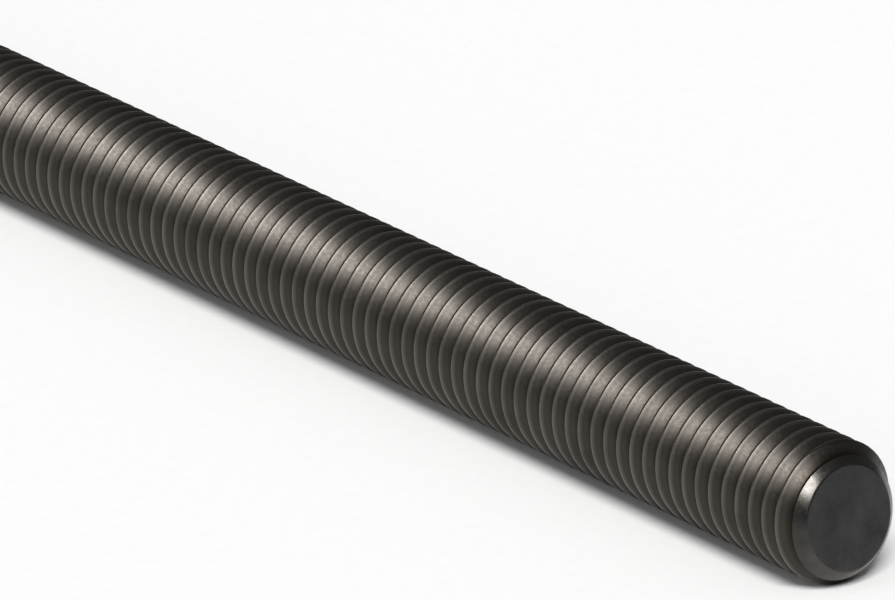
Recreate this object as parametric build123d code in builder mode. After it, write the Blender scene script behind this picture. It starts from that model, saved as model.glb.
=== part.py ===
from build123d import *
from math import ceil, cos, radians, sin, sqrt, tan
import os

# A length of all-thread: one bar of plain steel with a right-hand thread rolled along all of it.
# The axis lies along X and the origin is at the middle of the rod. The near end, at +X, was sawn
# out of square. The far end, at -X, is square. Both ends have their rims chamfered.

# Driving dimensions, in millimetres and degrees
rod_length = 304.8          # over all, to the longest line of the sawn end
major_diameter = 12.7       # over the crests of the thread
threads_per_inch = 13.0
thread_angle = 60.0         # between the two flanks of a groove
near_chamfer = 1.7          # across the rim of the sawn end, at 45 degrees
far_chamfer = 1.5           # across the rim of the square end, at 45 degrees
saw_angle = 8.0             # how far the sawn end is out of square
saw_lean = 60.0             # where its short side lies, round from +Y towards +Z
first_crest = 0.5           # from the middle of the sawn end back to the first crest along the top

# The thread's section, from the pitch
pitch = 25.4 / threads_per_inch
thread_depth = 17 / 24 * pitch * sqrt(3) / 2
crest_width = pitch / 8
flank_run = thread_depth * tan(radians(thread_angle / 2))
root_width = pitch - crest_width - 2 * flank_run
major_radius = major_diameter / 2
minor_radius = major_radius - thread_depth

# The blank that trims the ends stands clear of the crests, so its wall never touches them
clear_of_crests = 0.5
blank_radius = major_radius + clear_of_crests
half_length = rod_length / 2
face_reach = blank_radius / cos(radians(saw_angle)) - near_chamfer - clear_of_crests
near_end = half_length - face_reach * sin(radians(saw_angle))
saw_normal = Vector(
    cos(radians(saw_angle)),
    sin(radians(saw_angle)) * cos(radians(saw_lean)),
    sin(radians(saw_angle)) * sin(radians(saw_lean)),
)


def helix(radius, start):
    """One right-hand turn round the X axis, from the top line at x = start to one pitch further."""
    return Edge.make_helix(pitch, pitch, radius, center=(start, 0, 0), normal=(1, 0, 0))


def closing_faces(start):
    """The step that one turn of thread ends on: a flat half section and the ramp under the turn."""
    axis_line = Edge.make_line((start, 0, 0), (start + pitch, 0, 0))
    section = [(start + x, 0, radius) for radius, x in groove]
    half_section = Wire.make_polygon([(start, 0, 0), *section, (start + pitch, 0, 0)], close=True)
    ramp = Face.make_surface_from_curves(axis_line, helix(minor_radius, start))
    return [Face(half_section), ramp]


# One pitch of the thread as (radius, distance along the rod): root, flank, crest, flank
groove = [
    (minor_radius, 0),
    (minor_radius, root_width),
    (major_radius, root_width + flank_run),
    (major_radius, root_width + flank_run + crest_width),
    (minor_radius, pitch),
]

# Turns of thread, enough to run past both ends, with a crest on the top line at first_crest
turns = ceil(rod_length / pitch) + 4
crest_middle = root_width + flank_run + crest_width / 2
thread_start = near_end - first_crest - crest_middle - (turns - 2) * pitch
one_turn = [
    Face.make_surface_from_curves(helix(inner, thread_start + low), helix(outer, thread_start + high))
    for (inner, low), (outer, high) in zip(groove, groove[1:])
]
thread_faces = [face.moved(Location((turn * pitch, 0, 0))) for turn in range(turns) for face in one_turn]
thread_ends = closing_faces(thread_start) + closing_faces(thread_start + turns * pitch)
endless_thread = Solid(Shell(thread_faces + thread_ends))

with BuildPart() as blank:
    # A plain bar, longer than the rod until the saw cut
    with BuildSketch(Plane.YZ.offset(-half_length)):
        Circle(blank_radius)
    extrude(amount=rod_length + major_diameter)
    # The sawn end
    split(bisect_by=Plane(origin=(near_end, 0, 0), z_dir=saw_normal), keep=Keep.BOTTOM)
    # The rims, deeper by the clearance so that the chamfers come out right on the thread
    ends = blank.faces().filter_by(GeomType.PLANE).sort_by(Axis.X)
    chamfer(ends[-1].edges(), length=near_chamfer + clear_of_crests)
    chamfer(ends[0].edges(), length=far_chamfer + clear_of_crests)

with BuildPart() as threaded_rod:
    # The thread, trimmed to the sawn and chamfered ends
    add(endless_thread)
    add(blank.part, mode=Mode.INTERSECT)

threaded_rod.part.label = "threaded_rod"
os.makedirs("parts", exist_ok=True)
export_step(threaded_rod.part, "parts/threaded_rod.step")
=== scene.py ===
from math import ceil, cos, pi, radians, sin, sqrt, tan

import bpy
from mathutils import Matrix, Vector


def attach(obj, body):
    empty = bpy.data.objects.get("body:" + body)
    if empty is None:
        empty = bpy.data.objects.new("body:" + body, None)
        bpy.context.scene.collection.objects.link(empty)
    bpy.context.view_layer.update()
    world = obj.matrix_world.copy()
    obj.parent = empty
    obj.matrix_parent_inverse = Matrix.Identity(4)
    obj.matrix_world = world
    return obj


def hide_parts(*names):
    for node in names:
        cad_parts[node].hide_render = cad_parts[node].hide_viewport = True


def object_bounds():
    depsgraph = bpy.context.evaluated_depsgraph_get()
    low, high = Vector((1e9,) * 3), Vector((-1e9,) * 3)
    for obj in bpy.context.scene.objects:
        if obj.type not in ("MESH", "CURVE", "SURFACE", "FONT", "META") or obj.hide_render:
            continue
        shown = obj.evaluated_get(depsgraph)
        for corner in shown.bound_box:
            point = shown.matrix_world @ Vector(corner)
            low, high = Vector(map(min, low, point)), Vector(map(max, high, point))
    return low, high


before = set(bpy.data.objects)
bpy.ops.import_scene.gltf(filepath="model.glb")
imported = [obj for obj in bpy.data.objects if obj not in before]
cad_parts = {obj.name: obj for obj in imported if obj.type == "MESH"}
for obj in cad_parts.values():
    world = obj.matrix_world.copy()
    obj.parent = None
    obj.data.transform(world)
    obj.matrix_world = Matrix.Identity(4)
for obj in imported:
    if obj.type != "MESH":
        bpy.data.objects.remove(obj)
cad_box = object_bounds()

MM = 0.001
bpy.ops.object.select_all(action='DESELECT')


# ---- The wear and dirt of rolled steel ----
# Steel stock comes from the mill dark and a little oily. Handling rubs it in blotches and dust settles
# in specks;
# every surface of the rod shows some of both. The thread's bright crests and dark roots are painted
# highlight and painted shade.

def make_mottle_group():
    """Blotches and specks, as masks from 0 to 1 and a height for bump."""
    group = bpy.data.node_groups.new("steel_mottle", 'ShaderNodeTree')
    face = group.interface
    face.new_socket("Vector", in_out='INPUT', socket_type='NodeSocketVector')
    for name, value in (("Blotch Scale", 180.0), ("Speck Scale", 2500.0)):
        face.new_socket(name, in_out='INPUT', socket_type='NodeSocketFloat').default_value = value
    for name in ("Blotch", "Speck", "Height"):
        face.new_socket(name, in_out='OUTPUT', socket_type='NodeSocketFloat')
    nodes, links = group.nodes, group.links
    inside = nodes.new('NodeGroupInput')
    outside = nodes.new('NodeGroupOutput')
    blotch = nodes.new('ShaderNodeTexNoise')
    blotch.inputs["Detail"].default_value = 5.0
    blotch.inputs["Roughness"].default_value = 0.6
    speck = nodes.new('ShaderNodeTexNoise')
    speck.inputs["Detail"].default_value = 3.0
    speck.inputs["Roughness"].default_value = 0.7
    height = nodes.new('ShaderNodeMath')
    height.operation = 'MULTIPLY_ADD'
    height.inputs[1].default_value = 0.5
    links.new(inside.outputs["Vector"], blotch.inputs["Vector"])
    links.new(inside.outputs["Vector"], speck.inputs["Vector"])
    links.new(inside.outputs["Blotch Scale"], blotch.inputs["Scale"])
    links.new(inside.outputs["Speck Scale"], speck.inputs["Scale"])
    links.new(blotch.outputs["Fac"], height.inputs[0])
    links.new(speck.outputs["Fac"], height.inputs[2])
    for source, name in ((blotch, "Blotch"), (speck, "Speck")):
        spread = nodes.new('ShaderNodeMapRange')
        spread.inputs["From Min"].default_value = 0.32
        spread.inputs["From Max"].default_value = 0.68
        links.new(source.outputs["Fac"], spread.inputs["Value"])
        links.new(spread.outputs["Result"], outside.inputs[name])
    links.new(height.outputs[0], outside.inputs["Height"])
    return group


mottle = make_mottle_group()


# ---- The rolled thread's finish ----
# The dies squeeze the thread up out of a plain bar, so its flanks are smooth and satin. Its crests are
# lightened, partly as rubbed wear and partly as a painted highlight, and its roots are darkened as
# painted shade with a brown tinge of oil.

INCH = 25.4 * MM
THREADS_PER_INCH = 13
pitch = INCH / THREADS_PER_INCH
# A 60 degree thread that has lost an eighth of its sharp height at the crest and a sixth at the root
thread_depth = 17 / 24 * pitch * sqrt(3) / 2
major_radius = (cad_box[1][2] - cad_box[0][2]) / 2
minor_radius = major_radius - thread_depth

# The root colour darkens the thread's roots as painted shade with a brown tinge of oil, and also tints
# the random stain blotches.
ROOT_OIL_AND_SHADE_COLOUR = (0.018, 0.014, 0.010, 1.0)
FLANK_COLOUR = (0.052, 0.0475, 0.0425, 1.0)
# The crest colour is partly rubbed wear and partly a painted highlight.
CREST_WEAR_AND_HIGHLIGHT_COLOUR = (0.125, 0.115, 0.104, 1.0)


def add(tree, kind, **values):
    """A node of that kind, with its named properties or sockets set."""
    node = tree.nodes.new(kind)
    for name, value in values.items():
        if hasattr(node, name):
            setattr(node, name, value)
        else:
            node.inputs[name.replace("_", " ")].default_value = value
    return node


def new_material(name):
    """An empty node material with a Principled shader. Returns it, its tree and the shader."""
    material = bpy.data.materials.new(name)
    material.use_nodes = True
    return material, material.node_tree, material.node_tree.nodes["Principled BSDF"]


def add_mottle(tree, **scales):
    """The mottle group reading Object coordinates, with its scales."""
    place = tree.nodes.new('ShaderNodeTexCoord')
    node = tree.nodes.new('ShaderNodeGroup')
    node.node_tree = mottle
    for name, value in scales.items():
        node.inputs[name.replace("_", " ")].default_value = value
    tree.links.new(place.outputs["Object"], node.inputs["Vector"])
    return place, node


def colour_mix(tree, factor, low, high):
    """A colour between low and high, each a colour or a socket, by the factor socket."""
    node = add(tree, 'ShaderNodeMix', data_type='RGBA')
    tree.links.new(factor, node.inputs["Factor"])
    for socket, value in ((node.inputs[6], low), (node.inputs[7], high)):
        if isinstance(value, tuple):
            socket.default_value = value
        else:
            tree.links.new(value, socket)
    return node.outputs[2]


def spread(tree, value, low, high, to_low, to_high):
    """The value socket taken from low..high to to_low..to_high."""
    node = tree.nodes.new('ShaderNodeMapRange')
    for socket, number in zip(list(node.inputs)[1:5], (low, high, to_low, to_high)):
        socket.default_value = number
    tree.links.new(value, node.inputs["Value"])
    return node.outputs["Result"]


def add_bump(tree, shader, height, distance, strength):
    """A Bump node on the shader's normal."""
    bump = tree.nodes.new('ShaderNodeBump')
    bump.inputs["Distance"].default_value = distance
    bump.inputs["Strength"].default_value = strength
    tree.links.new(height, bump.inputs["Height"])
    tree.links.new(bump.outputs["Normal"], shader.inputs["Normal"])


def make_thread_steel():
    material, tree, shader = new_material("rolled_thread_steel")
    place, marks = add_mottle(tree, Blotch_Scale=160.0, Speck_Scale=3200.0)
    # How far out a point lies, from 0 at the root to 1 at the crest
    split = add(tree, 'ShaderNodeSeparateXYZ')
    across = add(tree, 'ShaderNodeCombineXYZ')
    reach = add(tree, 'ShaderNodeVectorMath', operation='LENGTH')
    tree.links.new(place.outputs["Object"], split.inputs[0])
    tree.links.new(split.outputs["Y"], across.inputs["Y"])
    tree.links.new(split.outputs["Z"], across.inputs["Z"])
    tree.links.new(across.outputs[0], reach.inputs[0])
    radius = reach.outputs["Value"]
    from_root = spread(tree, radius, minor_radius, minor_radius + 0.55 * thread_depth, 0.0, 1.0)
    to_crest = spread(tree, radius, major_radius - 0.22 * thread_depth, major_radius, 0.0, 1.0)
    # Painted shade in the roots with an oily brown tinge, steel on the flanks, crests lightened partly
    # as wear and partly as a painted highlight, and blotches of stain over all of it
    # Painted shade: the roots are darkened by how deep they lie, with a brown tinge of oil.
    oil_and_root_shade = colour_mix(tree, from_root, ROOT_OIL_AND_SHADE_COLOUR, FLANK_COLOUR)
    # Painted highlight: the crests are lightened by how far out they lie, partly as rubbed wear,
    # broken up by blotches.
    rubbed_and_highlit = add(tree, 'ShaderNodeMath', operation='MULTIPLY')
    tree.links.new(to_crest, rubbed_and_highlit.inputs[0])
    tree.links.new(spread(tree, marks.outputs["Blotch"], 0.0, 1.0, 0.6, 1.0), rubbed_and_highlit.inputs[1])
    worn_and_highlit = colour_mix(tree, rubbed_and_highlit.outputs[0], oil_and_root_shade, CREST_WEAR_AND_HIGHLIGHT_COLOUR)
    stain = spread(tree, marks.outputs["Blotch"], 0.0, 0.5, 0.22, 0.0)
    stained = colour_mix(tree, stain, worn_and_highlit, ROOT_OIL_AND_SHADE_COLOUR)
    tree.links.new(stained, shader.inputs["Base Color"])
    shader.inputs["Metallic"].default_value = 1.0
    gloss = spread(tree, marks.outputs["Speck"], 0.0, 1.0, 0.33, 0.43)
    tree.links.new(gloss, shader.inputs["Roughness"])
    add_bump(tree, shader, marks.outputs["Height"], 0.01 * MM, 0.35)
    return material


# ---- The ends' finish ----
# The saw leaves a flat face of close, slightly wandering lines, dull and dark. The rim is dressed
# to a chamfer afterwards, so that is the freshest and brightest steel on the rod.

SAWN_COLOUR = (0.072, 0.072, 0.073, 1.0)
SAWN_DARK = (0.046, 0.044, 0.043, 1.0)
RIM_COLOUR = (0.080, 0.075, 0.070, 1.0)
RIM_DARK = (0.040, 0.038, 0.035, 1.0)
SAW_LINE_WIDTH = 0.35 * MM


def make_sawn_steel():
    material, tree, shader = new_material("sawn_end_steel")
    place, marks = add_mottle(tree, Blotch_Scale=330.0, Speck_Scale=2600.0)
    lines = add(tree, 'ShaderNodeTexWave', bands_direction='Z', Scale=0.3 / SAW_LINE_WIDTH,
                Distortion=1.4, Detail=3.0, Detail_Scale=2.0)
    tree.links.new(place.outputs["Object"], lines.inputs["Vector"])
    dull = colour_mix(tree, marks.outputs["Blotch"], SAWN_DARK, SAWN_COLOUR)
    tree.links.new(dull, shader.inputs["Base Color"])
    shader.inputs["Metallic"].default_value = 1.0
    gloss = spread(tree, marks.outputs["Speck"], 0.0, 1.0, 0.50, 0.66)
    tree.links.new(gloss, shader.inputs["Roughness"])
    relief = add(tree, 'ShaderNodeMath', operation='MULTIPLY_ADD')
    relief.inputs[1].default_value = 0.5
    tree.links.new(lines.outputs["Fac"], relief.inputs[0])
    tree.links.new(marks.outputs["Height"], relief.inputs[2])
    add_bump(tree, shader, relief.outputs[0], 0.02 * MM, 0.5)
    return material


def make_rim_steel():
    material, tree, shader = new_material("chamfered_rim_steel")
    _, marks = add_mottle(tree, Blotch_Scale=260.0, Speck_Scale=2600.0)
    bright = colour_mix(tree, marks.outputs["Blotch"], RIM_DARK, RIM_COLOUR)
    tree.links.new(bright, shader.inputs["Base Color"])
    shader.inputs["Metallic"].default_value = 1.0
    gloss = spread(tree, marks.outputs["Speck"], 0.0, 1.0, 0.22, 0.32)
    tree.links.new(gloss, shader.inputs["Roughness"])
    add_bump(tree, shader, marks.outputs["Height"], 0.01 * MM, 0.4)
    return material


# ---- The rod ----
# One bar of plain steel, threaded by rolling along all of its length, with a right-hand thread.
# It is cut to length with a saw, here a little out of square at one end, and both rims are dressed.

crest_width = pitch / 8
FLANK_ANGLE = radians(30)
flank_run = thread_depth * tan(FLANK_ANGLE)
root_width = pitch - crest_width - 2 * flank_run
CREST_ROUNDING = 0.05 * MM
ROOT_ROUNDING = 0.11 * MM
STEPS_A_TURN = 56

SAWN_END_CHAMFER = 1.7 * MM
SQUARE_END_CHAMFER = 1.5 * MM
RIM_ROUNDING = 0.12 * MM
CLEAR_OF_CRESTS = 0.5 * MM
SAW_ANGLE = radians(8)
SAW_LEAN = radians(60)
FIRST_CREST = 0.5 * MM
SPARE_TURNS = 4
A_HAIR = 0.01 * MM
SMOOTH_BELOW = radians(38)

half_length = (cad_box[1][0] - cad_box[0][0]) / 2
blank_radius = major_radius + CLEAR_OF_CRESTS
face_reach = blank_radius / cos(SAW_ANGLE) - SAWN_END_CHAMFER - CLEAR_OF_CRESTS
near_end = half_length - face_reach * sin(SAW_ANGLE)
saw_normal = Vector((cos(SAW_ANGLE),
                     sin(SAW_ANGLE) * cos(SAW_LEAN),
                     sin(SAW_ANGLE) * sin(SAW_LEAN)))
turns = ceil(2 * half_length / pitch) + SPARE_TURNS
thread_start = near_end - FIRST_CREST - (turns - 1.5) * pitch


def select_in(piece, mode, chosen):
    """Leaves piece in edit mode with exactly the vertices, edges or faces picked by chosen(item)."""
    bpy.ops.object.mode_set(mode='EDIT')
    bpy.ops.mesh.select_mode(type=mode)
    bpy.ops.mesh.select_all(action='DESELECT')
    bpy.ops.object.mode_set(mode='OBJECT')
    items = {'VERT': piece.data.vertices, 'EDGE': piece.data.edges, 'FACE': piece.data.polygons}[mode]
    for item in items:
        item.select = chosen(item)
    bpy.ops.object.mode_set(mode='EDIT')


def apply_all(piece):
    """Applies the piece's place and its modifiers, so its shape is all in its mesh."""
    bpy.context.view_layer.objects.active = piece
    bpy.ops.object.transform_apply(location=True, rotation=True, scale=True)
    for modifier in list(piece.modifiers):
        bpy.ops.object.modifier_apply(modifier=modifier.name)


def make_thread():
    """The thread from past one end to past the other: one pitch of its outline, screwed along X."""
    start = (thread_start, 0, minor_radius)
    bpy.ops.mesh.primitive_plane_add(size=MM, location=(0, 0, 0))
    thread = bpy.context.object
    thread.name = "threaded_steel_rod"
    bpy.ops.object.mode_set(mode='EDIT')
    bpy.ops.mesh.merge(type='CENTER')
    bpy.ops.transform.translate(value=start)
    # From the middle of one root, up a flank, over the crest and down to the middle of the next
    outline = ((root_width / 2, 0), (flank_run, thread_depth), (crest_width, 0),
               (flank_run, -thread_depth), (root_width / 2, 0))
    for along, out in outline:
        bpy.ops.mesh.extrude_region_move(TRANSFORM_OT_translate={"value": (along, 0, out)})
    bpy.ops.object.mode_set(mode='OBJECT')
    # Crests and roots are rounded by the dies
    top = major_radius - A_HAIR
    select_in(thread, 'VERT', lambda v: v.co.z > top)
    bpy.ops.mesh.bevel(affect='VERTICES', offset=CREST_ROUNDING, segments=2)
    bpy.ops.object.mode_set(mode='OBJECT')
    low, high = thread_start + 0.1 * root_width, thread_start + pitch - 0.1 * root_width
    floor_of_root = minor_radius + A_HAIR
    select_in(thread, 'VERT', lambda v: v.co.z < floor_of_root and low < v.co.x < high)
    bpy.ops.mesh.bevel(affect='VERTICES', offset=ROOT_ROUNDING, segments=1)
    bpy.ops.object.mode_set(mode='OBJECT')
    screw = thread.modifiers.new("rolled thread", 'SCREW')
    screw.axis = 'X'
    screw.angle = 2 * pi
    screw.screw_offset = pitch
    screw.iterations = turns
    screw.steps = screw.render_steps = STEPS_A_TURN
    screw.use_smooth_shade = True
    apply_all(thread)
    # Turns are joined to each other and the two open ends closed
    select_in(thread, 'VERT', lambda v: True)
    bpy.ops.mesh.remove_doubles(threshold=0.1 * A_HAIR)
    bpy.ops.mesh.select_all(action='DESELECT')
    bpy.ops.mesh.select_non_manifold()
    bpy.ops.mesh.fill_holes(sides=0)
    bpy.ops.mesh.select_all(action='SELECT')
    bpy.ops.mesh.normals_make_consistent(inside=False)
    bpy.ops.object.mode_set(mode='OBJECT')
    return thread


def make_blank(rim_steel, sawn_steel):
    """The plain bar that the ends are cut to: square at -X, sawn out of square at +X, rims dressed."""
    bpy.ops.mesh.primitive_cylinder_add(vertices=2 * STEPS_A_TURN, radius=blank_radius,
                                        depth=4 * half_length, rotation=(0, pi / 2, 0))
    blank = bpy.context.object
    blank.name = "rod_blank"
    for steel in (rim_steel, rim_steel, sawn_steel):
        blank.data.materials.append(steel)
    apply_all(blank)
    saw_cuts = (((near_end, 0, 0), saw_normal), ((-half_length, 0, 0), Vector((-1, 0, 0))))
    for place, normal in saw_cuts:
        bpy.ops.object.mode_set(mode='EDIT')
        bpy.ops.mesh.select_all(action='SELECT')
        bpy.ops.mesh.bisect(plane_co=place, plane_no=normal, use_fill=True, clear_outer=True)
        bpy.ops.object.mode_set(mode='OBJECT')

    def bevel_rims(ends, offset, segments):
        """Bevels the outline of each flat end that ends(face) picks."""
        rims = {key for f in blank.data.polygons if ends(f) for key in f.edge_keys}
        select_in(blank, 'EDGE', lambda e: tuple(sorted(e.vertices)) in rims)
        bpy.ops.mesh.bevel(offset=offset, segments=segments, material=1)
        bpy.ops.object.mode_set(mode='OBJECT')

    flat = cos(radians(30))
    for f in blank.data.polygons:
        f.material_index = 2 if abs(f.normal.x) > flat else 0
    # The rims are dressed to a chamfer, and the chamfer's own edge is barely rounded
    bevel_rims(lambda f: f.normal.x > flat, SAWN_END_CHAMFER + CLEAR_OF_CRESTS, 1)
    bevel_rims(lambda f: f.normal.x < -flat, SQUARE_END_CHAMFER + CLEAR_OF_CRESTS, 1)
    bevel_rims(lambda f: abs(f.normal.x) > flat, RIM_ROUNDING, 2)
    return blank


thread_steel, sawn_steel, rim_steel = make_thread_steel(), make_sawn_steel(), make_rim_steel()
rod = make_thread()
rod.data.materials.append(thread_steel)
blank = make_blank(rim_steel, sawn_steel)
trim = rod.modifiers.new("cut to length", 'BOOLEAN')
trim.operation = 'INTERSECT'
trim.solver = 'EXACT'
trim.material_mode = 'TRANSFER'
trim.object = blank
bpy.ops.object.select_all(action='DESELECT')
rod.select_set(True)
apply_all(rod)
bpy.data.objects.remove(blank)
bpy.ops.object.shade_smooth_by_angle(angle=SMOOTH_BELOW)
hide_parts("threaded_rod")
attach(rod, "root")


# ---- The floor ----
# A very large sheet of matt white board that the rod lies on.

def make_board():
    material, tree, shader = new_material("white_board")
    _, marks = add_mottle(tree, Blotch_Scale=9.0, Speck_Scale=700.0)
    grain = colour_mix(tree, marks.outputs["Speck"], (0.90, 0.90, 0.90, 1.0), (0.92, 0.92, 0.92, 1.0))
    tree.links.new(grain, shader.inputs["Base Color"])
    shader.inputs["Roughness"].default_value = 0.9
    return material


bpy.ops.object.select_all(action='DESELECT')
BOARD_SIZE = 80.0
bpy.ops.mesh.primitive_plane_add(size=BOARD_SIZE, location=(0, 0, cad_box[0][2]))
board = bpy.context.object
board.name = "white_board_floor"
board.data.materials.append(make_board())


# ---- The light ----
# One large soft lamp high beside the camera, a weak one low on its left, and a dim even room.

LAMP_DIRECTION = Vector((0.59, -0.35, 0.73))
lamp = bpy.data.lights.new("soft_lamp", 'SUN')
lamp.energy = 3.55
lamp.angle = radians(26)
lamp.color = (1.0, 0.992, 0.982)
lamp_object = bpy.data.objects.new("soft_lamp", lamp)
lamp_object.rotation_euler = LAMP_DIRECTION.to_track_quat('Z', 'Y').to_euler()
bpy.context.scene.collection.objects.link(lamp_object)

FILL_DIRECTION = Vector((-0.2, -0.9, 0.38))
fill = bpy.data.lights.new("side_fill", 'SUN')
fill.energy = 0.45
fill.angle = radians(40)
fill_object = bpy.data.objects.new("side_fill", fill)
fill_object.rotation_euler = FILL_DIRECTION.to_track_quat('Z', 'Y').to_euler()
bpy.context.scene.collection.objects.link(fill_object)

world = bpy.data.worlds.new("dim_room")
world.use_nodes = True
world.node_tree.nodes["Background"].inputs["Color"].default_value = (0.22, 0.225, 0.23, 1.0)
world.node_tree.nodes["Background"].inputs["Strength"].default_value = 1.0
bpy.context.scene.world = world


# ---- The camera ----
# A long lens, looking down the rod from past its sawn end, so most of the rod runs out of view.

AZIMUTH = radians(55.58)
ELEVATION = radians(18.70)
camera = bpy.data.cameras.new("camera")
camera.sensor_width = 36.0
camera.lens = 463.8
camera.clip_end = 500.0
camera_object = bpy.data.objects.new("camera", camera)
camera_object.location = (near_end + 745.6 * MM, -552.5 * MM, 333.6 * MM)
camera_object.rotation_euler = (pi / 2 - ELEVATION, 0.0, AZIMUTH)
bpy.context.scene.collection.objects.link(camera_object)
bpy.context.scene.camera = camera_object
bpy.context.scene.view_settings.view_transform = 'Standard'
